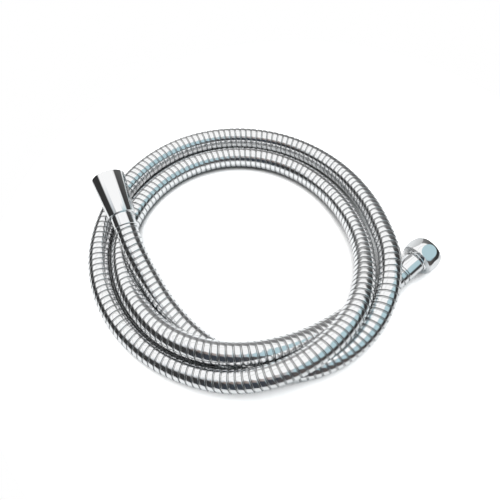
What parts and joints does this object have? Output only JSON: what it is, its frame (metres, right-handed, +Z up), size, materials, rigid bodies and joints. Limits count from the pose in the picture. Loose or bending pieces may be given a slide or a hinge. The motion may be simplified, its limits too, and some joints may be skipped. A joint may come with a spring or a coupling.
{
  "type": "shower hose",
  "caption": "Flexible shower hose with a chromed spiral metal winding over a rubber liner, a conical nut at one end and a domed hexagonal nut at the other, lying in a loose coil.",
  "frame": {"origin": "on the surface the hose lies on, under the middle of its bounding box", "axes": "+Z up; +X the way the hexagonal nut points, seen from above; +Y from the two nearly parallel front strands to the back of the coil, about the way the conical nut points"},
  "size_m": [0.2079, 0.2189, 0.0457],
  "materials": {
    "spiral_chrome": "polished chromed strip",
    "chrome": "polished chrome on brass",
    "liner_rubber": "smooth matt",
    "seal_rubber": "matt",
    "brass": "turned, uncoated",
    "slip_plastic": "smooth",
    "sleeve_steel": "pressed, plain"
  },
  "bodies": {
    "hose": {"winding": "spiral_chrome", "liner": "liner_rubber", "cone_ferrule": "chrome", "hex_ferrule": "chrome", "cone_washer": "seal_rubber", "hex_washer": "seal_rubber", "cone_nipple": "brass", "hex_nipple": "brass", "cone_slip_ring": "slip_plastic", "hex_slip_ring": "slip_plastic", "cone_crimp_sleeve": "sleeve_steel", "hex_crimp_sleeve": "sleeve_steel"},
    "cone_nut": {"cone_nut": "chrome"},
    "hex_nut": {"hex_nut": "chrome"}
  },
  "joints": [
    {"name": "cone_nut_turn", "type": "hinge", "parent": "hose", "child": "cone_nut", "pos_m": [-0.0578, 0.0519, 0.0247], "axis": [0.271, 0.9271, 0.259], "continuous": true},
    {"name": "hex_nut_turn", "type": "hinge", "parent": "hose", "child": "hex_nut", "pos_m": [0.069, -0.0865, 0.0107], "axis": [0.9956, 0, 0.094], "continuous": true}
  ]
}
